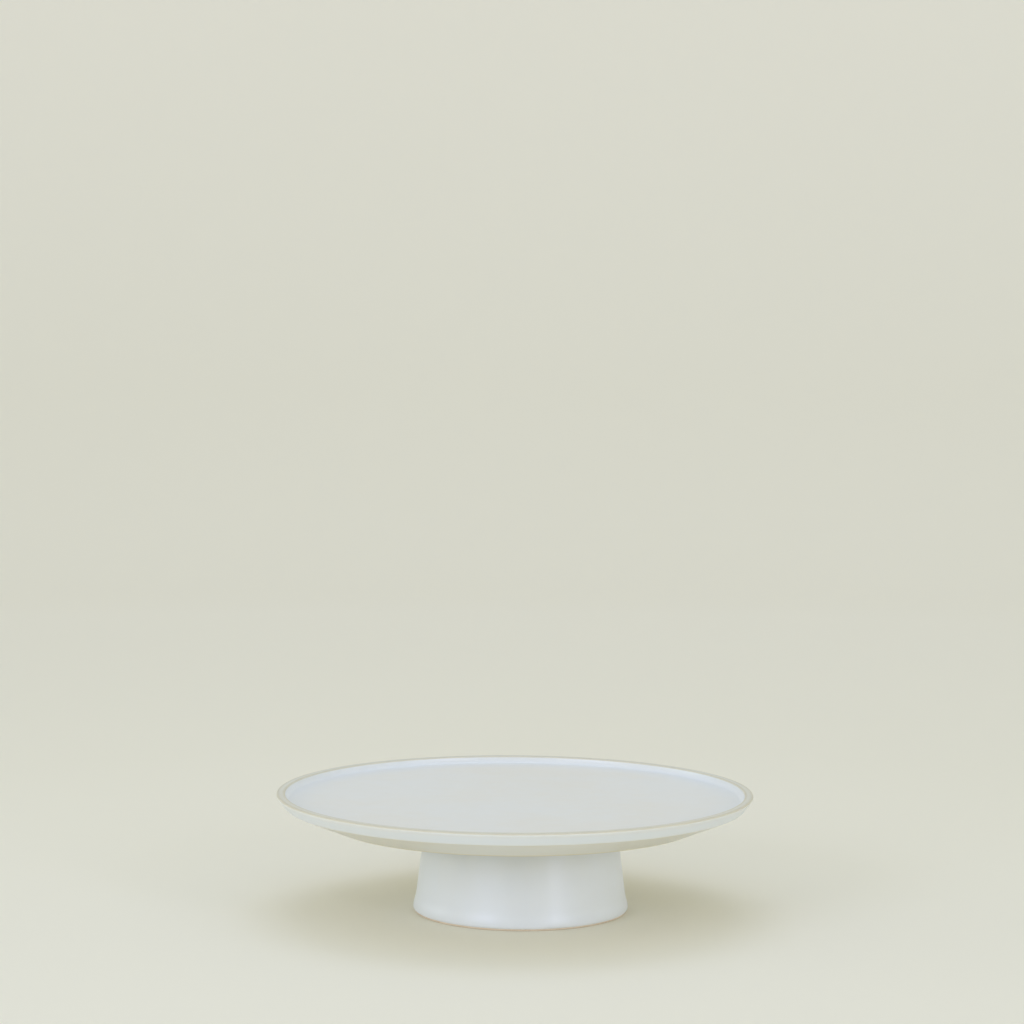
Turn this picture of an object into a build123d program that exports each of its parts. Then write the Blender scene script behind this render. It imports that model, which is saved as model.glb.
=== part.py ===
from build123d import *
import os
from math import asin, atan2, hypot, tan

# A footed cake stand in stoneware. Its two pieces of clay, a shallow plate and a hollow
# pedestal, are joined with slip before the firing. Glaze covers both, in one coat on each
# face, all but the plate's lip and the ring that the pedestal stands on. Everything is a
# turned shape, so each piece is a section revolved about the plate's axis or the
# pedestal's. Millimetres, +Z up. The origin is on the surface that the stand rests on,
# under the middle of the plate.

# Driving dimensions -------------------------------------------------------------------

glaze = 0.4                 # thickness of every coat

# Plate, over the glaze
rim_radius = 152.5          # at the outer rounding of the lip
overall_height = 76.5       # from the foot ring to the flat of the lip
lip_width = 5.3             # flat of the lip, with its two roundings
well_depth = 4.5            # from the flat of the lip to the cake surface

# Plate, bare clay
lip_outer_round = 1.2
lip_inner_round = 1.0
well_wall_lean = 1.0        # how much narrower the well is at its floor than at the lip
well_corner_round = 1.5
floor_thickness = 7.2
wall_foot_radius = 147.2    # arris under the side wall, which leans out to the lip
wall_foot_height = 68.8
arris_round = 0.8
ring_outer_radius = 118.8   # turned ring that the slanted underside runs down to
ring_inner_radius = 112.0
ring_height = 57.1
ring_outer_round = 1.0
ring_inner_round = 2.0
recess_radius = 109.0       # recess inside the ring, where the pedestal joins on
recess_corner_round = 3.0

# Pedestal, bare clay
pedestal_shift = 4.0        # its axis stands this far along +X from the plate's: set by eye
foot_radius = 68.2
waist_radius = 64.1         # half-way up, a touch inside the straight line
neck_radius = 60.2          # where it meets the plate
foot_wall = 6.0             # wall thickness, foot and neck
neck_wall = 5.6
foot_outer_round = 1.0
foot_inner_round = 1.5

# Slip joint
slip_bed = 1.0              # slip between the pedestal's top and the plate
slip_fillet = 3.0           # smoothed into both corners
joint_reach = 5.0           # the pedestal's coat runs this far out on the plate

# Glaze edges
glaze_line = 1.2            # bare clay below this height, round the foot
roll_height = 4.2           # glaze ran down and gathered in a soft roll above the line
roll_radius = 68.8          # of the pedestal over that roll
roll_arc = 12.0

# Sizes that follow ----------------------------------------------------------------------

lip_outer_radius = rim_radius - glaze
lip_inner_radius = rim_radius - lip_width + glaze
well_floor = overall_height - well_depth - glaze
recess_height = well_floor - floor_thickness
pedestal_top = recess_height - slip_bed
joint_radius = neck_radius + joint_reach
lip_bottom = overall_height - lip_outer_round
well_coat_top = overall_height - lip_inner_round
clear = 10.0                # how far the cutting shapes run past the clay

plate_plane = Plane.XZ
pedestal_plane = Plane.XZ.move(Location((pedestal_shift, 0, 0)))
plate_axis = Axis.Z
pedestal_axis = Axis((pedestal_shift, 0, 0), (0, 0, 1))


def leaning_wall_corner():
    """Radius where the side wall, running from its foot and touching the lip's outer
    rounding, would meet the plane of the lip's flat."""
    across = lip_outer_radius - lip_outer_round - wall_foot_radius
    up = lip_bottom - wall_foot_height
    lean = atan2(across, up) + asin(lip_outer_round / hypot(across, up))
    return wall_foot_radius + (overall_height - wall_foot_height) * tan(lean)


def round_corner(section, radius, height, rounding):
    """Round the corner of a section that lies nearest to the given place."""
    corner = section.vertices().sort_by_distance(Vector(radius, height))[0]
    fillet(corner, radius=rounding)


def keep_between(inner, outer, bottom, top):
    """Keep only the part of the current section between two radii and two heights."""
    with Locations(((inner + outer) / 2, (bottom + top) / 2)):
        Rectangle(outer - inner, top - bottom, mode=Mode.INTERSECT)


# Sections of the clay -------------------------------------------------------------------

with BuildSketch(plate_plane) as plate_section:
    with BuildLine():
        Polyline(
            (0, well_floor),
            (lip_inner_radius - well_wall_lean, well_floor),
            (lip_inner_radius, overall_height),
            (leaning_wall_corner(), overall_height),
            (wall_foot_radius, wall_foot_height),
            (ring_outer_radius, ring_height),
            (ring_inner_radius, ring_height),
            (recess_radius, recess_height),
            (0, recess_height),
            close=True,
        )
    make_face()
    round_corner(plate_section, lip_inner_radius - well_wall_lean, well_floor, well_corner_round)
    round_corner(plate_section, lip_inner_radius, overall_height, lip_inner_round)
    round_corner(plate_section, leaning_wall_corner(), overall_height, lip_outer_round)
    round_corner(plate_section, wall_foot_radius, wall_foot_height, arris_round)
    round_corner(plate_section, ring_outer_radius, ring_height, ring_outer_round)
    round_corner(plate_section, ring_inner_radius, ring_height, ring_inner_round)
    round_corner(plate_section, recess_radius, recess_height, recess_corner_round)

# The pedestal's wall, run right up to the plate's underside
with BuildSketch(pedestal_plane) as wall_section:
    with BuildLine():
        outside = ThreePointArc(
            (foot_radius, 0),
            (waist_radius, recess_height / 2),
            (neck_radius, recess_height),
        )
        inside = ThreePointArc(
            (foot_radius - foot_wall, 0),
            (waist_radius - (foot_wall + neck_wall) / 2, recess_height / 2),
            (neck_radius - neck_wall, recess_height),
        )
        Line(outside @ 0, inside @ 0)
        Line(outside @ 1, inside @ 1)
    make_face()
    round_corner(wall_section, foot_radius, 0, foot_outer_round)
    round_corner(wall_section, foot_radius - foot_wall, 0, foot_inner_round)

with BuildSketch(pedestal_plane) as pedestal_section:
    add(wall_section.sketch_local)
    keep_between(0, foot_radius, 0, pedestal_top)

# That wall with the slip's fillets, and a slab that stands for the plate above it
with BuildSketch(pedestal_plane) as joined_section:
    add(wall_section.sketch_local)
    with Locations((0, recess_height)):
        Rectangle(joint_radius + clear, floor_thickness, align=(Align.MIN, Align.MIN))
    round_corner(joined_section, neck_radius, recess_height, slip_fillet)
    round_corner(joined_section, neck_radius - neck_wall, recess_height, slip_fillet)

# Everything from the pedestal's axis to the middle of its wall
with BuildSketch(pedestal_plane) as hollow_side:
    with BuildLine():
        Polyline(
            (0, 0),
            (foot_radius - foot_wall / 2, 0),
            (neck_radius - neck_wall / 2, recess_height),
            (0, recess_height),
            close=True,
        )
    make_face()

# Clay -------------------------------------------------------------------------------------

with BuildPart() as plate:
    revolve(plate_section.sketch, axis=plate_axis)

with BuildPart() as pedestal:
    revolve(pedestal_section.sketch, axis=pedestal_axis)

with BuildPart() as slip_joint:
    with BuildSketch(pedestal_plane):
        add(joined_section.sketch_local)
        add(pedestal_section.sketch_local, mode=Mode.SUBTRACT)
        keep_between(0, foot_radius, 0, recess_height)
    revolve(axis=pedestal_axis)

# Glaze: the section of the clay swollen by one coat, less the clay, cut to its stretch ----

with BuildPart() as well_glaze:
    with BuildSketch(plate_plane):
        add(plate_section.sketch_local)
        offset(amount=glaze)
        add(plate_section.sketch_local, mode=Mode.SUBTRACT)
        keep_between(0, lip_inner_radius, well_floor, well_coat_top)
    revolve(axis=plate_axis)

with BuildPart() as underside_glaze:
    with BuildSketch(plate_plane):
        add(plate_section.sketch_local)
        offset(amount=glaze)
        add(plate_section.sketch_local, mode=Mode.SUBTRACT)
        keep_between(0, rim_radius, 0, lip_bottom)
        with Locations((0, well_floor)):
            Rectangle(lip_inner_radius, well_depth, align=(Align.MIN, Align.MIN), mode=Mode.SUBTRACT)
    revolve(axis=plate_axis)
    with BuildSketch(Plane((pedestal_shift, 0, 0))):
        Circle(joint_radius)
    extrude(amount=overall_height, mode=Mode.SUBTRACT)

with BuildPart() as pedestal_glaze:
    with BuildSketch(pedestal_plane):
        add(joined_section.sketch_local)
        offset(amount=glaze)
        with Locations((roll_radius - roll_arc, roll_height)):
            Circle(roll_arc)
        add(joined_section.sketch_local, mode=Mode.SUBTRACT)
        add(hollow_side.sketch_local, mode=Mode.SUBTRACT)
        keep_between(0, joint_radius + clear, glaze_line, recess_height)
        with Locations((joint_radius, recess_height)):
            Rectangle(clear, glaze, align=(Align.MIN, Align.MAX), mode=Mode.SUBTRACT)
    revolve(axis=pedestal_axis)

with BuildPart() as hollow_glaze:
    with BuildSketch(pedestal_plane):
        add(joined_section.sketch_local)
        offset(amount=glaze)
        add(joined_section.sketch_local, mode=Mode.SUBTRACT)
        add(hollow_side.sketch_local, mode=Mode.INTERSECT)
        keep_between(0, foot_radius, glaze_line, recess_height)
    revolve(axis=pedestal_axis)

# Export -------------------------------------------------------------------------------------

pieces = {
    "plate": plate,
    "pedestal": pedestal,
    "slip_joint": slip_joint,
    "well_glaze": well_glaze,
    "underside_glaze": underside_glaze,
    "pedestal_glaze": pedestal_glaze,
    "hollow_glaze": hollow_glaze,
}

os.makedirs("parts", exist_ok=True)
for name, piece in pieces.items():
    piece.part.label = name
    export_step(piece.part, f"parts/{name}.step")
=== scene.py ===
import math

import bpy
from mathutils import Euler, Matrix, Vector


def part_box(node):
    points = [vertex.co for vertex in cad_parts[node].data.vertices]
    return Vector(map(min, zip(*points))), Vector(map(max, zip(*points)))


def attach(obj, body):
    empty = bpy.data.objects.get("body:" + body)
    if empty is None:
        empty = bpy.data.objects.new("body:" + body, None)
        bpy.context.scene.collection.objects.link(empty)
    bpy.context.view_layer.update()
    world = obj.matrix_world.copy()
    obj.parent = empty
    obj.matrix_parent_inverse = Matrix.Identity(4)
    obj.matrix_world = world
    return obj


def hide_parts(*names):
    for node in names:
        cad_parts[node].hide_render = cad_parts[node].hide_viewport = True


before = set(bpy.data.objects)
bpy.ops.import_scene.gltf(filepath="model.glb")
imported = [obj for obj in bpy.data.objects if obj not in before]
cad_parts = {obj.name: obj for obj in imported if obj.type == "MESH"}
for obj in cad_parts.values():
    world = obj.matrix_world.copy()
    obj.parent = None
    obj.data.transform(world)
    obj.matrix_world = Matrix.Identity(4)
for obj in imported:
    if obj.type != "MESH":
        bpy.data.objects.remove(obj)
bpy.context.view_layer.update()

# A glazed stoneware cake stand: a turned plate on a hollow pedestal. Lengths in this script
# are millimetres until a mesh is made, and every mesh is written in metres.

MM = 0.001


def box_mm(node):
    """Lowest and highest corners of a CAD node, in millimetres."""
    low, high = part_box(node)
    return low / MM, high / MM


# Sizes read from the frame -----------------------------------------------------------------

plate_low, plate_high = box_mm("plate")
coat_low, coat_high = box_mm("underside_glaze")
well_coat_low = box_mm("well_glaze")[0]
foot_low, foot_high = box_mm("pedestal")
joint_high = box_mm("slip_joint")[1]
pedestal_coat_low = box_mm("pedestal_glaze")[0]

RIM_RADIUS = coat_high.x
TOP = plate_high.z
GLAZE = plate_low.z - coat_low.z        # thickness of a coat
RING_HEIGHT = coat_low.z
FLOOR = well_coat_low.z + GLAZE         # the cake surface
CLAY_CEILING = joint_high.z             # of the hollow and of the recess about the pedestal
CEILING = CLAY_CEILING - GLAZE
PEDESTAL_TOP = foot_high.z
PEDESTAL_X = (foot_low.x + foot_high.x) / 2
GLAZE_LINE = pedestal_coat_low.z        # the clay is bare below it
OVALITY = coat_high.x - coat_high.y

# Sizes over the glaze that the frame doesn't hold --------------------------------------------

LIP_WIDTH = 5.3
LIP_OUTER_ROUND = 1.0
LIP_INNER_ROUND = 1.0
WELL_WALL_LEAN = 1.0
WELL_CORNER_ROUND = 3.6
WALL_FOOT_RADIUS = 147.4                # arris under the side wall
WALL_FOOT_HEIGHT = 68.45
ARRIS_ROUND = 1.6
RING_OUTER_RADIUS = 118.9
RING_INNER_RADIUS = 111.7
RECESS_RADIUS = 108.7
RING_OUTER_ROUND = 1.3
RING_INNER_ROUND = 1.7
RECESS_ROUND = 2.7
JOINT_FILLET = 2.7
ROLL_HEIGHT = 4.2                       # the roll of glaze just above the bare foot line
ROLL_PROUD = 0.75
ROLL_SPREAD = 4.0
COAT_EDGE = 1.2                         # height over which a coat rounds off at the glaze line

# Sizes of the pedestal's bare clay

FOOT_RADIUS = 68.2
WAIST_RADIUS = 64.1
NECK_RADIUS = 60.2
FOOT_WALL = 6.0
NECK_WALL = 5.6
FOOT_OUTER_ROUND = 0.8
FOOT_INNER_ROUND = 1.5

# How far the kiln put the shapes out of true, and where it did, in radians round the axis

RIM_SAG = 0.25
RIM_SAG_PHASE = 1.2
NECK_ROUNDNESS = 0.2
NECK_LOBES = 3
NECK_PHASE = 0.7

SEGMENTS = 400   # round a turned shape
SHARP = math.radians(50)                # edges that turn more than this stay crisp
ON_AXIS = 1e-6                          # profile points nearer to the axis than this lie on it

# How thin the glaze lies: -1 where it pooled, 0 where it is full, 1 where it breaks bare. The pooled
# values also lay painted cool light on the well's corner, the side wall and the pedestal, and the
# value underneath lays on a faint painted warm bounce

# painted cool reflection in the well's corner, laid on with the real pool of glaze there
POOL_AND_COOL_LIGHT_IN_CORNER = -0.45
POOL_REACH = 14.0           # how far the pool and its painted cool reflection in the well's corner reach
# painted cool light on the plate's side wall, drawn in the pooled glaze's bluer colour
COOL_LIGHT_ON_WALL = -0.65
# painted warm bounce light from the paper on the underside, laid on as thinner glaze
THIN_AND_WARM_BOUNCE_UNDERNEATH = 0.04
# pooled glaze at the pedestal's foot, also painted cool light; less towards the neck, where it is
# painted warmer shade under the plate
POOL_AND_COOL_LIGHT_AT_FOOT = -0.5
POOL_AND_COOL_LIGHT_AT_NECK = -0.3
LINGER_REACH = 3.5          # how far the fainter part of a break reaches

# Colours, linear, and finishes -------------------------------------------------------------

GLAZE_COOL = (0.83, 0.833, 0.772, 1)
GLAZE_WARM = (0.835, 0.814, 0.717, 1)
GLAZE_POOLED_AND_COOL_LIT = (0.775, 0.83, 0.845, 1)
# bluer colour of pooled glaze, which also serves as painted cool light
GLAZE_BREAK = (0.84, 0.73, 0.42, 1)
VEIL_COOL = (0.76, 0.76, 0.645, 1)     # the thinner glaze over the lip
VEIL_WARM = (0.75, 0.73, 0.60, 1)
VEIL_BREAK = (0.66, 0.60, 0.42, 1)
CLAY_LIGHT = (0.82, 0.70, 0.52, 1)
CLAY_DARK = (0.74, 0.60, 0.42, 1)
SLIP_LIGHT = (0.66, 0.58, 0.46, 1)
SLIP_DARK = (0.58, 0.50, 0.38, 1)
IRON = (0.30, 0.22, 0.13, 1)
PAPER = (0.945, 0.90, 0.725, 1)
PAPER_SHADE = (0.935, 0.89, 0.715, 1)
BLACK_CLOTH = (0.010, 0.010, 0.011, 1)
BLACK_CLOTH_WORN = (0.016, 0.016, 0.017, 1)

GLAZE_ROUGHNESS = 0.30
GLAZE_IOR = 1.5
BREAK_ROUGHER = 0.22                    # how much rougher the glaze is where it breaks
MOTTLE_ROUGHER = 0.08
CLAY_ROUGHNESS = 0.68
GRAIN_ROUGHER = 0.2
PAPER_ROUGHNESS = 0.85
FIBRE_ROUGHER = 0.1
GLAZED_SPECK = 0.35                     # how strongly a speck of iron colours the glaze
BARE_SPECK = 0.5                        # and the bare clay

# Relief of the surfaces, in metres

MOTTLE_RELIEF = 0.00012
PEEL_RELIEF = 0.00002
PINHOLE_DEPTH = 0.00005
BODY_RELIEF = 0.0001
GRAIN_RELIEF = 0.00008
FIBRE_RELIEF = 0.00005

# Light ---------------------------------------------------------------------------------------

KEY_COLOUR = (0.645, 0.70, 1.0)
AMBIENT_COLOUR = (0.80, 0.88, 1.0)
AMBIENT = 0.675
LIGHT_DISTANCE = 2.1                # metres
OVERHEAD_BEHIND = 0.75              # metres
GRID_SPREAD = math.radians(70)      # grids on the low lights keep them off the paper near them

# The background paper glows with painted light of its own, an emission: from here to there, in
# metres, the glow rises to full, once with the distance from the stand and once more with the height

PAPER_PAINTED_GLOW = 0.068
GLOW_DISTANCE = (0.7, 1.8)
GLOW_HEIGHT = (0.25, 0.85)


def add_object(name, data):
    """A new object in the scene."""
    made = bpy.data.objects.new(name, data)
    bpy.context.scene.collection.objects.link(made)
    return made


# Profiles ----------------------------------------------------------------------------------
# A profile is a list of (radius, height) points, from one end of a turned surface to the other.

ARC_STEP = math.radians(7)


def rounded(corners, step=1.5):
    """A run of straight lines through (radius, height, rounding) corners, each corner turned
    by an arc, with points no further apart than step on the straights."""
    points = [Vector(corners[0][:2])]
    for before, here, after in zip(corners, corners[1:], corners[2:]):
        corner = Vector(here[:2])
        back = (Vector(before[:2]) - corner).normalized()
        ahead = (Vector(after[:2]) - corner).normalized()
        half = back.angle(ahead) / 2
        reach = here[2] / math.tan(half)
        centre = corner + (back + ahead).normalized() * (here[2] / math.sin(half))
        start = corner + back * reach - centre
        finish = corner + ahead * reach - centre
        turn = math.copysign(math.pi - 2 * half, start.cross(finish))
        straight(points, centre + start, step)
        pieces = max(4, math.ceil(abs(turn) / ARC_STEP))
        for i in range(1, pieces + 1):
            points.append(centre + Matrix.Rotation(turn * i / pieces, 2) @ start)
    straight(points, Vector(corners[-1][:2]), step)
    return points


def straight(points, end, step):
    """Carry a profile on in a straight line to a point."""
    start = points[-1]
    pieces = max(1, math.ceil((end - start).length / step))
    for i in range(1, pieces + 1):
        points.append(start.lerp(end, i / pieces))


def lengths(points):
    """Distance along a profile to each of its points."""
    run = [0.0]
    for a, b in zip(points, points[1:]):
        run.append(run[-1] + (b - a).length)
    return run


def inset(points, depth):
    """The same profile moved sideways by depth, to the right of its direction."""
    moved = []
    for i, here in enumerate(points):
        along = points[min(i + 1, len(points) - 1)] - points[max(i - 1, 0)]
        aside = Vector((along.y, -along.x)).normalized()
        moved.append(here + aside * depth)
        if here.x < ON_AXIS:
            moved[-1].x = 0.0
    return moved


def nearest(points, place):
    """Index of the profile point nearest to a place."""
    target = Vector(place)
    return min(range(len(points)), key=lambda i: (points[i] - target).length)


def rim_corner():
    """Radius where the leaning side wall, touching the lip's outer rounding, would meet the
    plane of the lip."""
    across = RIM_RADIUS - LIP_OUTER_ROUND - WALL_FOOT_RADIUS
    up = TOP - LIP_OUTER_ROUND - WALL_FOOT_HEIGHT
    lean = math.atan2(across, up) + math.asin(LIP_OUTER_ROUND / math.hypot(across, up))
    return WALL_FOOT_RADIUS + (TOP - WALL_FOOT_HEIGHT) * math.tan(lean)


lip_inner = RIM_RADIUS - LIP_WIDTH
plate_skin = rounded([
    (0, FLOOR, 0),
    (lip_inner - WELL_WALL_LEAN, FLOOR, WELL_CORNER_ROUND),
    (lip_inner, TOP, LIP_INNER_ROUND),
    (rim_corner(), TOP, LIP_OUTER_ROUND),
    (WALL_FOOT_RADIUS, WALL_FOOT_HEIGHT, ARRIS_ROUND),
    (RING_OUTER_RADIUS, RING_HEIGHT, RING_OUTER_ROUND),
    (RING_INNER_RADIUS, RING_HEIGHT, RING_INNER_ROUND),
    (RECESS_RADIUS, CEILING, RECESS_ROUND),
    (NECK_RADIUS - JOINT_FILLET, CEILING, 0),
])


def pedestal_radius(height, foot, waist, neck):
    """Radius of a gently hollowed side through its foot, waist and neck."""
    t = height / CLAY_CEILING
    return foot * (1 - t) * (1 - 2 * t) + 4 * waist * t * (1 - t) + neck * t * (2 * t - 1)


def clay_outside(height):
    """The pedestal's outer side, bare."""
    return pedestal_radius(height, FOOT_RADIUS, WAIST_RADIUS, NECK_RADIUS)


def clay_inside(height):
    """The pedestal's inner side, bare."""
    waist_wall = (FOOT_WALL + NECK_WALL) / 2
    return pedestal_radius(
        height, FOOT_RADIUS - FOOT_WALL, WAIST_RADIUS - waist_wall, NECK_RADIUS - NECK_WALL
    )


def coat_edge(height):
    """How full the coat is: it rounds off to nothing at the glaze line."""
    short = 1 - (height - GLAZE_LINE) / COAT_EDGE
    return math.sqrt(max(0.0, 1 - max(0.0, short) ** 2))


def outside_radius(height):
    """The glazed outside of the pedestal, with the roll of glaze that gathered at its foot."""
    roll = ROLL_PROUD * math.exp(-(((height - ROLL_HEIGHT) / ROLL_SPREAD) ** 2))
    return clay_outside(height) + (GLAZE + roll) * coat_edge(height)


def inside_radius(height):
    """The glazed inside of the pedestal."""
    return clay_inside(height) - GLAZE * coat_edge(height)


def coat_heights():
    """Heights up the pedestal's coats: close together where they round off at the glaze line."""
    edge_steps = 8
    rounded_off = [
        GLAZE_LINE + COAT_EDGE * (1 - math.cos(math.pi / 2 * i / edge_steps))
        for i in range(edge_steps + 1)
    ]
    top = CEILING - JOINT_FILLET
    steps = math.ceil(top - rounded_off[-1])
    rise = (top - rounded_off[-1]) / steps
    return rounded_off + [rounded_off[-1] + rise * i for i in range(1, steps + 1)]


def quarter_turn(centre, start, turn, pieces=12):
    """Points of an arc about a centre, after its start point."""
    spoke = Vector(start) - Vector(centre)
    return [
        Vector(centre) + Matrix.Rotation(turn * i / pieces, 2) @ spoke
        for i in range(1, pieces + 1)
    ]


def fillets():
    """The two quarter turns of glaze where the pedestal meets the ceiling, in the skin's order."""
    shoulder = CEILING - JOINT_FILLET
    outer = outside_radius(shoulder)
    inner = inside_radius(shoulder)
    outer_start = Vector((outer + JOINT_FILLET, CEILING))
    outside = quarter_turn((outer + JOINT_FILLET, shoulder), outer_start, math.pi / 2)
    inside = quarter_turn((inner - JOINT_FILLET, shoulder), (inner, shoulder), math.pi / 2)
    return [outer_start] + outside, [Vector((inner, shoulder))] + inside


def bare_foot():
    """The unglazed foot ring, from the outer glaze line under to the inner one."""
    return rounded([
        (clay_outside(GLAZE_LINE), GLAZE_LINE, 0),
        (FOOT_RADIUS, 0, FOOT_OUTER_ROUND),
        (FOOT_RADIUS - FOOT_WALL, 0, FOOT_INNER_ROUND),
        (clay_inside(GLAZE_LINE), GLAZE_LINE, 0),
    ], step=0.5)


heights = coat_heights()
outer_fillet, inner_fillet = fillets()
lip_start = nearest(plate_skin, (lip_inner, TOP - LIP_INNER_ROUND))
lip_end = nearest(plate_skin, (RIM_RADIUS, TOP - LIP_OUTER_ROUND))

# Turned meshes -----------------------------------------------------------------------------


def settled_plate(radius, height, angle):
    """The plate came out of the kiln a little oval, its rim a little down on two sides."""
    out = (radius / RIM_RADIUS) ** 2
    radius -= OVALITY * (1 - math.cos(2 * angle)) / 2 * out
    height -= RIM_SAG * (1 - math.cos(2 * angle + RIM_SAG_PHASE)) / 2 * out
    return radius, height


def settled_pedestal(radius, height, angle):
    """The pedestal's neck is a little out of round; its foot was ground flat and true."""
    up = height / PEDESTAL_TOP
    radius -= NECK_ROUNDNESS * (1 - math.cos(NECK_LOBES * angle + NECK_PHASE)) / 2 * up
    return radius, height


def turned(node, profile, thin, settle, middle_x, materials, material_of=None):
    """A closed turned solid in a CAD node's place: a profile revolved about a vertical axis, with
    each point's thinness of glaze, which also carries painted light, kept on the mesh for its
    material."""
    on_axis = [point.x < ON_AXIS for point in profile]
    loop = not on_axis[0]
    vertices, starts, thinness = [], [], []
    for point, axial, value in zip(profile, on_axis, thin):
        starts.append(len(vertices))
        for j in range(1 if axial else SEGMENTS):
            angle = 2 * math.pi * j / SEGMENTS
            radius, height = settle(point.x, point.y, angle)
            across = middle_x + radius * math.cos(angle)
            vertices.append((across * MM, radius * math.sin(angle) * MM, height * MM))
            thinness.append(value)
    faces, indices = [], []
    count = len(profile)
    for i in range(count if loop else count - 1):
        k = (i + 1) % count
        for j in range(SEGMENTS):
            m = (j + 1) % SEGMENTS
            a, b = starts[i], starts[k]
            if on_axis[i]:
                faces.append((a, b + j, b + m))
            elif on_axis[k]:
                faces.append((a + j, b, a + m))
            else:
                faces.append((a + j, b + j, b + m, a + m))
            indices.append(material_of(i) if material_of else 0)
    mesh = bpy.data.meshes.new(node)
    mesh.from_pydata(vertices, [], faces)
    mesh.attributes.new("thin", "FLOAT", "POINT").data.foreach_set("value", thinness)
    for material in materials:
        mesh.materials.append(material)
    mesh.polygons.foreach_set("material_index", indices)
    mesh.polygons.foreach_set("use_smooth", [True] * len(faces))
    mesh.set_sharp_from_angle(angle=SHARP)
    mesh.validate()
    piece = add_object(node, mesh)
    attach(piece, "root")
    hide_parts(node)


def glaze_and_light_on_plate():
    """How thin the coat lies along the plate's profile, its breaks apart: it pooled in the corner of
    the well, where painted cool reflection is laid on with it, the side wall carries painted cool
    light in the pooled glaze's colour and underneath lies a faint painted warm bounce as thinner
    glaze."""
    corner = Vector((lip_inner - WELL_WALL_LEAN, FLOOR))
    values = []
    for i, point in enumerate(plate_skin):
        if i <= lip_start:
            away = (point - corner).length / POOL_REACH
            values.append(POOL_AND_COOL_LIGHT_IN_CORNER * math.exp(-(away ** 2)))
        elif i < lip_end:
            values.append(0.0)
        else:
            values.append(COOL_LIGHT_ON_WALL if point.y > WALL_FOOT_HEIGHT else THIN_AND_WARM_BOUNCE_UNDERNEATH)
    return values


def glaze_and_light_on_pedestal(height):
    """How thin the coat lies up the pedestal: the glaze ran down and gathered at the foot, and this
    bluer pool is also painted cool light, fading towards the neck as painted warmer shade under the
    plate.
    """
    return POOL_AND_COOL_LIGHT_AT_FOOT + (POOL_AND_COOL_LIGHT_AT_NECK - POOL_AND_COOL_LIGHT_AT_FOOT) * min(1.0, height / CEILING)


def thinness(points, lie, breaks):
    """Thinness of the glaze along a profile: -1 where it pooled, 0 where it is full and 1 where it
    breaks bare, with painted light laid on through the pooled and underside values. Each break is a
    place, its strength, its reach and how much of it lingers."""
    run = lengths(points)
    values = list(lie)
    for place, strength, reach, linger in breaks:
        here = run[nearest(points, place)]
        for i, at in enumerate(run):
            near = math.exp(-(((at - here) / reach) ** 2))
            far = math.exp(-(((at - here) / LINGER_REACH) ** 2))
            values[i] += (1 - values[i]) * strength * ((1 - linger) * near + linger * far)
    return values


# Materials ---------------------------------------------------------------------------------


def add_node(tree, kind, links=None, **settings):
    """A shader node with its settings, and its inputs set to a value or linked from a socket."""
    made = tree.nodes.new("ShaderNode" + kind)
    for key, value in settings.items():
        setattr(made, key, value)
    for key, value in (links or {}).items():
        if isinstance(value, bpy.types.NodeSocket):
            tree.links.new(value, made.inputs[key])
        else:
            made.inputs[key].default_value = value
    return made


def noise(tree, where, scale, detail=3.0, roughness=0.5):
    """A noise from 0 to 1 at a scale given in features a metre."""
    inputs = {"Vector": where, "Scale": scale, "Detail": detail, "Roughness": roughness}
    return add_node(tree, "TexNoise", inputs).outputs["Fac"]


def maths(tree, operation, *values, clamp=False):
    """One sum on two or three values."""
    inputs = dict(enumerate(values))
    return add_node(tree, "Math", inputs, operation=operation, use_clamp=clamp).outputs[0]


def share(tree, first, second, part):
    """Two values added up, part of the first and the rest of the second."""
    rest = maths(tree, "MULTIPLY", second, 1 - part)
    return maths(tree, "ADD", maths(tree, "MULTIPLY", first, part), rest)


def blend(tree, amount, low, high):
    """Mix two colours."""
    inputs = {"Factor": amount, 6: low, 7: high}
    return add_node(tree, "Mix", inputs, data_type="RGBA").outputs[2]


def ramp(tree, value, low, high):
    """A value stretched so that low gives 0 and high gives 1."""
    inputs = {"Value": value, "From Min": low, "From Max": high}
    return add_node(tree, "MapRange", inputs, interpolation_type="SMOOTHSTEP").outputs["Result"]


def specks(tree, where, scale, size):
    """Sparse round dots, 1 in each dot: about one cell in four holds one."""
    cells = add_node(tree, "TexVoronoi", {"Vector": where, "Scale": scale})
    chosen = add_node(tree, "SeparateColor", {"Color": cells.outputs["Color"]}).outputs["Red"]
    dot = ramp(tree, cells.outputs["Distance"], size, size * 0.4)
    return maths(tree, "MULTIPLY", dot, ramp(tree, chosen, 0.74, 0.78))


def bumped(tree, height, strength, distance, under=None):
    """A bump of a given depth in metres, on top of another."""
    inputs = {"Height": height, "Strength": strength, "Distance": distance}
    if under is not None:
        inputs["Normal"] = under
    return add_node(tree, "Bump", inputs).outputs["Normal"]


def new_material(name):
    """An empty node material, its tree, its shader and the object's own coordinates."""
    material = bpy.data.materials.new(name)
    material.use_nodes = True
    tree = material.node_tree
    tree.nodes.clear()
    shader = add_node(tree, "BsdfPrincipled")
    output = add_node(tree, "OutputMaterial")
    tree.links.new(shader.outputs[0], output.inputs["Surface"])
    where = add_node(tree, "TexCoord").outputs["Object"]
    return material, tree, shader, where


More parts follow.
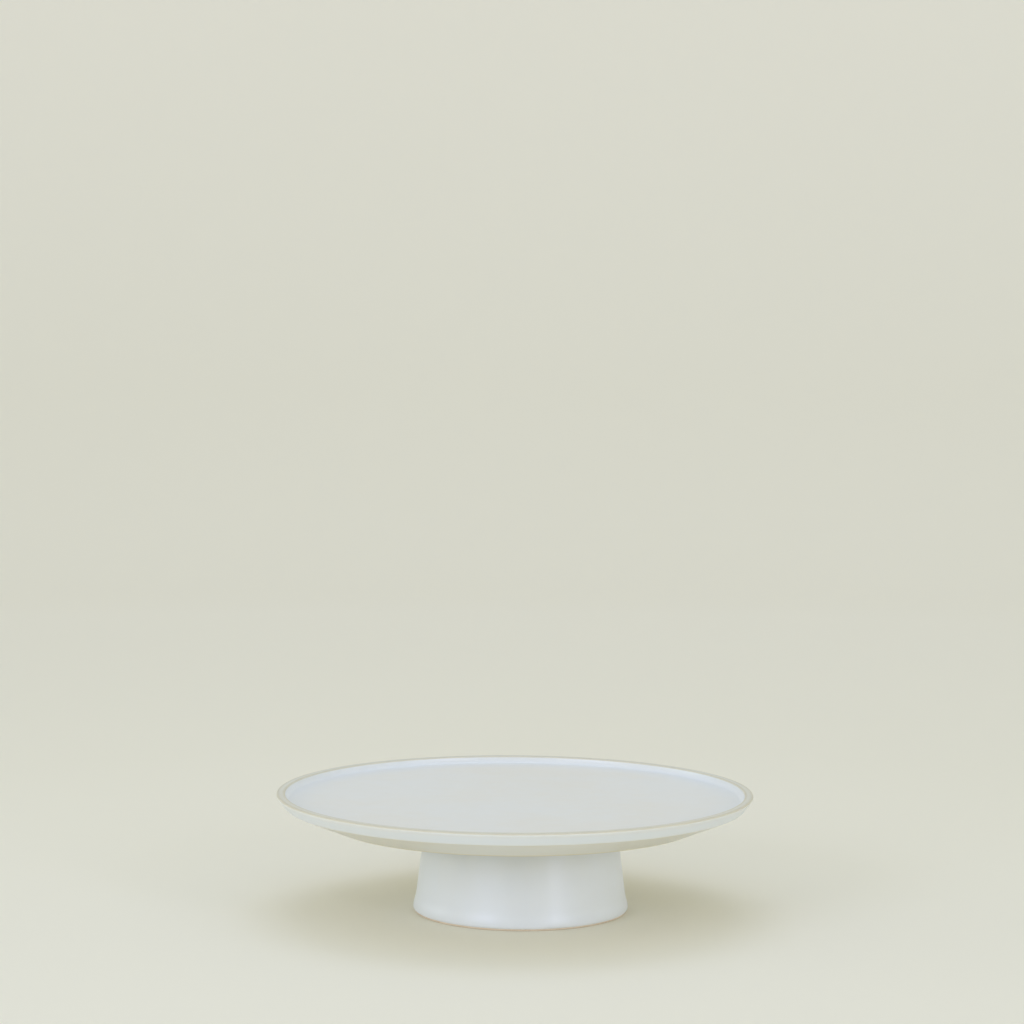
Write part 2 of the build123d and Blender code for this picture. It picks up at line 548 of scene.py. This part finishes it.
def glaze_material(name, cool, warm, break_colour):
    """Satin glaze: drifting between two tones, bluer where it pooled and where painted cool light is
    laid on, and broken to the colour of the clay on the arrises, with an orange peel, pinholes and
    faint iron specks."""
    material, tree, shader, where = new_material(name)
    thin = add_node(tree, "Attribute", attribute_name="thin").outputs["Fac"]
    drift = noise(tree, where, 11.0, detail=2.0)
    mottle = noise(tree, where, 95.0, detail=4.0, roughness=0.6)
    peel = noise(tree, where, 900.0, detail=2.0)
    pinholes = specks(tree, where, 190.0, 0.07)
    iron = specks(tree, where, 75.0, 0.035)

    ragged = maths(tree, "MULTIPLY_ADD", mottle, 0.5, 0.75)
    broken = maths(tree, "MULTIPLY", thin, ragged, clamp=True)
    # negative thinness turns the glaze bluer: pooled glaze, and painted cool light on the side wall,
    # the pedestal and the well's corner
    pooled_and_cool_lit = maths(tree, "MULTIPLY", thin, -1.0, clamp=True)
    colour = blend(tree, ramp(tree, share(tree, drift, mottle, 0.7), 0.32, 0.68), cool, warm)
    colour = blend(tree, pooled_and_cool_lit, colour, GLAZE_POOLED_AND_COOL_LIT)
    colour = blend(tree, broken, colour, break_colour)
    colour = blend(tree, maths(tree, "MULTIPLY", iron, GLAZED_SPECK), colour, IRON)
    tree.links.new(colour, shader.inputs["Base Color"])

    rough = maths(tree, "MULTIPLY_ADD", broken, BREAK_ROUGHER, GLAZE_ROUGHNESS)
    rough = maths(tree, "MULTIPLY_ADD", mottle, MOTTLE_ROUGHER, rough)
    tree.links.new(rough, shader.inputs["Roughness"])
    normal = bumped(tree, mottle, 0.35, MOTTLE_RELIEF)
    normal = bumped(tree, peel, 0.25, PEEL_RELIEF, normal)
    pits = maths(tree, "SUBTRACT", 1.0, pinholes)
    normal = bumped(tree, pits, 0.5, PINHOLE_DEPTH, normal)
    tree.links.new(normal, shader.inputs["Normal"])
    shader.inputs["IOR"].default_value = GLAZE_IOR
    return material


def stoneware_material(name, light, dark):
    """Bare fired stoneware: an even fine grain, darker specks and a dry, slightly open face."""
    material, tree, shader, where = new_material(name)
    grain = noise(tree, where, 1500.0, detail=4.0, roughness=0.7)
    body = noise(tree, where, 130.0, detail=5.0, roughness=0.6)
    dots = specks(tree, where, 420.0, 0.2)
    colour = blend(tree, ramp(tree, share(tree, grain, body, 0.4), 0.3, 0.7), dark, light)
    colour = blend(tree, maths(tree, "MULTIPLY", dots, BARE_SPECK), colour, IRON)
    tree.links.new(colour, shader.inputs["Base Color"])
    rough = maths(tree, "MULTIPLY_ADD", grain, GRAIN_ROUGHER, CLAY_ROUGHNESS)
    tree.links.new(rough, shader.inputs["Roughness"])
    normal = bumped(tree, body, 0.3, BODY_RELIEF)
    normal = bumped(tree, grain, 0.6, GRAIN_RELIEF, normal)
    tree.links.new(normal, shader.inputs["Normal"])
    return material


def paper_material(name, colour, shade):
    """The sweep of pale background paper: matt, with the least variation in tone. It glows with
    painted light of its own, away from the stand and again towards the top of the sweep."""
    material, tree, shader, where = new_material(name)
    tone = noise(tree, where, 1.3, detail=2.0)
    fibre = noise(tree, where, 700.0, detail=3.0)
    tree.links.new(blend(tree, tone, colour, shade), shader.inputs["Base Color"])
    rough = maths(tree, "MULTIPLY_ADD", fibre, FIBRE_ROUGHER, PAPER_ROUGHNESS)
    tree.links.new(rough, shader.inputs["Roughness"])
    tree.links.new(bumped(tree, fibre, 0.1, FIBRE_RELIEF), shader.inputs["Normal"])
    shader.inputs["Specular IOR Level"].default_value = 0.2
    # painted light: the paper emits a glow in the key's colour, rising away from the stand and up the
    # sweep
    away = add_node(tree, "VectorMath", {0: where}, operation="LENGTH").outputs["Value"]
    height = add_node(tree, "SeparateXYZ", {"Vector": where}).outputs["Z"]
    glow = []
    for value, (start, end) in ((away, GLOW_DISTANCE), (height, GLOW_HEIGHT)):
        rise = {"Value": value, "From Min": start, "From Max": end, "To Max": PAPER_PAINTED_GLOW}
        glow.append(add_node(tree, "MapRange", rise).outputs["Result"])
    tree.links.new(maths(tree, "ADD", *glow), shader.inputs["Emission Strength"])
    shader.inputs["Emission Color"].default_value = KEY_COLOUR + (1,)
    material.cycles.emission_sampling = "NONE"
    return material


def cloth_material(name):
    """Black cloth, matt, with a fine weave."""
    material, tree, shader, where = new_material(name)
    weave = noise(tree, where, 900.0)
    colour = blend(tree, weave, BLACK_CLOTH, BLACK_CLOTH_WORN)
    tree.links.new(colour, shader.inputs["Base Color"])
    shader.inputs["Roughness"].default_value = 1.0
    return material


glaze = glaze_material("satin_glaze", GLAZE_COOL, GLAZE_WARM, GLAZE_BREAK)
veil = glaze_material("lip_veil", VEIL_COOL, VEIL_WARM, VEIL_BREAK)
stoneware = stoneware_material("bare_stoneware", CLAY_LIGHT, CLAY_DARK)
slip = stoneware_material("fired_slip", SLIP_LIGHT, SLIP_DARK)
paper = paper_material("background_paper", PAPER, PAPER_SHADE)
cloth = cloth_material("black_cloth")

# Pieces ------------------------------------------------------------------------------------


def make_plate_pieces():
    """The plate, its lip under a thinner veil of glaze, its well coat and its underside coat."""
    clay = inset(plate_skin, GLAZE)
    inner_arris = (lip_inner + LIP_INNER_ROUND / 2, TOP)
    outer_arris = (RIM_RADIUS - LIP_OUTER_ROUND / 2, TOP - LIP_OUTER_ROUND / 4)
    under_arris = (WALL_FOOT_RADIUS, WALL_FOOT_HEIGHT)
    ring_arris = (RING_OUTER_RADIUS, RING_HEIGHT)
    breaks = [              # place, strength, reach and how much of it lingers
        (inner_arris, 0.75, 0.7, 0.1),
        (outer_arris, 0.8, 1.0, 0.3),
        (under_arris, 0.2, 0.6, 0.3),
        (ring_arris, 1.0, 1.5, 0.2),
    ]
    thin = thinness(plate_skin, glaze_and_light_on_plate(), breaks)
    start, end = lip_start, lip_end
    turned(
        "well_glaze",
        plate_skin[:start + 1] + clay[start::-1],
        thin[:start + 1] + thin[start::-1],
        settled_plate, 0.0, [glaze],
    )
    turned(
        "underside_glaze",
        plate_skin[end:] + clay[:end - 1:-1],
        thin[end:] + thin[:end - 1:-1],
        settled_plate, 0.0, [glaze],
    )
    lip = thinness(plate_skin, [0.0] * len(plate_skin), breaks[:2])
    ceiling_middle = Vector((0, CLAY_CEILING))
    turned(
        "plate",
        clay[:start + 1] + plate_skin[start:end + 1] + clay[end:] + [ceiling_middle],
        lip[:start + 1] + lip[start:end + 1] + lip[end:] + [1.0],
        settled_plate, 0.0, [stoneware, veil],
        material_of=lambda i: 1 if start < i <= end else 0,
    )


def make_pedestal_pieces():
    """The hollow pedestal with its bare foot ring, and its coats outside and in."""
    clay_out = [Vector((clay_outside(h), h)) for h in heights]
    clay_in = [Vector((clay_inside(h), h)) for h in heights]
    skin_out = outer_fillet + [Vector((outside_radius(h), h)) for h in reversed(heights[:-1])]
    skin_in = [Vector((inside_radius(h), h)) for h in heights[:-1]] + inner_fillet
    straight(skin_in, Vector((0, CEILING)), 3.0)

    outside = skin_out + clay_out[1:] + inset(outer_fillet, GLAZE)[-2::-1]
    turned(
        "pedestal_glaze", outside, [glaze_and_light_on_pedestal(point.y) for point in outside],
        settled_pedestal, PEDESTAL_X, [glaze],
    )
    ceiling = inset(skin_in[len(heights) - 1:], GLAZE)
    inside = ceiling[:0:-1] + clay_in[::-1] + skin_in[1:]
    turned(
        "hollow_glaze", inside, [glaze_and_light_on_pedestal(point.y) for point in inside],
        settled_pedestal, PEDESTAL_X, [glaze],
    )
    top = [Vector((side(PEDESTAL_TOP), PEDESTAL_TOP)) for side in (clay_inside, clay_outside)]
    body = clay_out[::-1] + bare_foot()[1:-1] + clay_in + top
    turned(
        "pedestal", body, [1.0] * len(body),
        settled_pedestal, PEDESTAL_X, [stoneware],
    )


make_plate_pieces()
make_pedestal_pieces()
slip_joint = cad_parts["slip_joint"]
slip_joint.data.materials.clear()
slip_joint.data.materials.append(slip)

# Stage ---------------------------------------------------------------------------------------
# Metres, from here on.

FLOOR_RADIUS = 2.0
FLOOR_RINGS = 8
SWEEP_RADIUS = 0.9
SWEEP_STEPS = 24
WALL_TOP = 3.2
BACKDROP_SEGMENTS = 96


def make_backdrop():
    """A round sweep of paper: a floor that curves up into a wall on every side."""
    outline = [(FLOOR_RADIUS * i / FLOOR_RINGS, 0.0) for i in range(1, FLOOR_RINGS + 1)]
    for i in range(1, SWEEP_STEPS + 1):
        angle = math.pi / 2 * i / SWEEP_STEPS
        radius = FLOOR_RADIUS + SWEEP_RADIUS * math.sin(angle)
        outline.append((radius, SWEEP_RADIUS * (1 - math.cos(angle))))
    outline.append((FLOOR_RADIUS + SWEEP_RADIUS, WALL_TOP))
    around = BACKDROP_SEGMENTS
    turns = [2 * math.pi * j / around for j in range(around)]
    vertices = [
        (radius * math.cos(turn), radius * math.sin(turn), height)
        for radius, height in outline
        for turn in turns
    ]
    hub = len(vertices)
    vertices.append((0, 0, 0))
    faces = [(hub, j, (j + 1) % around) for j in range(around)]
    for ring in range(len(outline) - 1):
        first, second = ring * around, (ring + 1) * around
        faces += [
            (first + j, second + j, second + (j + 1) % around, first + (j + 1) % around)
            for j in range(around)
        ]
    mesh = bpy.data.meshes.new("backdrop")
    mesh.from_pydata(vertices, [], faces)
    mesh.polygons.foreach_set("use_smooth", [True] * len(faces))
    mesh.materials.append(paper)
    backdrop = add_object("backdrop", mesh)


def around_stand(azimuth, elevation):
    """A light's place about the stand. Azimuth 0 is on the camera's side, 90 on its right."""
    around, up = math.radians(azimuth), math.radians(elevation)
    direction = (math.sin(around) * math.cos(up), -math.cos(around) * math.cos(up), math.sin(up))
    return Vector(direction) * LIGHT_DISTANCE


def softbox(name, place, facing, size, power, colour, spread=math.pi):
    """An area light facing a point, its size a width and a height in metres and its power in
    watts, perhaps with a grid that narrows its spread."""
    light = bpy.data.lights.new(name, "AREA")
    light.shape = "RECTANGLE"
    light.size, light.size_y = size
    light.energy = power
    light.color = colour
    light.spread = spread
    lamp = add_object(name, light)
    lamp.location = place
    lamp.rotation_mode = "QUATERNION"
    lamp.rotation_quaternion = (place - facing).to_track_quat("Z", "Y")
    lamp.visible_camera = False
    return lamp


def make_lights():
    """A cool key overhead and behind, a broad cool light on the left, a tall cool strip on the
    right and low fills in front and on each side, with an even ambient light."""
    stand = Vector((0, 0, 0))
    above = Vector((0, OVERHEAD_BEHIND, LIGHT_DISTANCE))
    below = Vector((0, OVERHEAD_BEHIND, 0))
    softbox("overhead_light", above, below, (1.3, 1.3), 6.6, KEY_COLOUR)
    softbox("left_light", around_stand(-40, 20), stand, (1.0, 0.95), 2.15, KEY_COLOUR, GRID_SPREAD)
    softbox("right_light", around_stand(40, 16), stand, (0.4, 0.95), 1.5, KEY_COLOUR, GRID_SPREAD)
    softbox("left_fill", around_stand(-100, 12), stand, (1.2, 0.5), 0.72, AMBIENT_COLOUR, GRID_SPREAD)
    softbox("right_fill", around_stand(100, 12), stand, (1.2, 0.5), 0.38, AMBIENT_COLOUR, GRID_SPREAD)
    front_fill = softbox("front_fill", around_stand(0, 12), stand, (1.8, 0.5), 1.6, AMBIENT_COLOUR)
    front_fill.visible_glossy = False
    world = bpy.data.worlds.new("studio")
    bpy.context.scene.world = world
    world.use_nodes = True
    background = world.node_tree.nodes["Background"]
    background.inputs["Color"].default_value = AMBIENT_COLOUR + (1,)
    background.inputs["Strength"].default_value = AMBIENT


def make_flag():
    """A black flag by the camera, which only shows as the dark stripe down the middle of the
    pedestal between the reflections of the two side lights."""
    half_width, low, high, distance = 0.42, -0.2, 0.9, 1.9
    mesh = bpy.data.meshes.new("flag")
    corners = [(-half_width, low), (half_width, low), (half_width, high), (-half_width, high)]
    mesh.from_pydata([(x, -distance, z) for x, z in corners], [], [(0, 1, 2, 3)])
    mesh.materials.append(cloth)
    flag = add_object("flag", mesh)
    flag.visible_camera = False
    flag.visible_diffuse = False
    flag.visible_shadow = False


# The camera's place is in radii of the rim: far back, a little above the rim and tipped down

CAMERA_BACK = 12.509
CAMERA_HEIGHT = 2.586
CAMERA_TIP = math.radians(4.146)
CAMERA_PAN = math.radians(0.089)
CAMERA_ROLL = math.radians(0.345)
SENSOR_WIDTH = 36.0         # millimetres, as is the lens
LENS = 105.5


def make_camera():
    """A long lens at the photograph's viewing angle, with the stand low in the frame."""
    rim = RIM_RADIUS * MM
    lens = bpy.data.cameras.new("camera")
    lens.sensor_width = SENSOR_WIDTH
    lens.lens = LENS
    camera = add_object("camera", lens)
    camera.location = (0, -CAMERA_BACK * rim, CAMERA_HEIGHT * rim)
    aim = Euler((math.pi / 2 - CAMERA_TIP, 0, CAMERA_PAN)).to_matrix()
    roll = Matrix.Rotation(CAMERA_ROLL, 3, "Z")
    camera.rotation_euler = (aim @ roll).to_euler()
    bpy.context.scene.camera = camera


make_backdrop()
make_lights()
make_flag()
make_camera()
bpy.context.scene.view_settings.view_transform = "Standard"
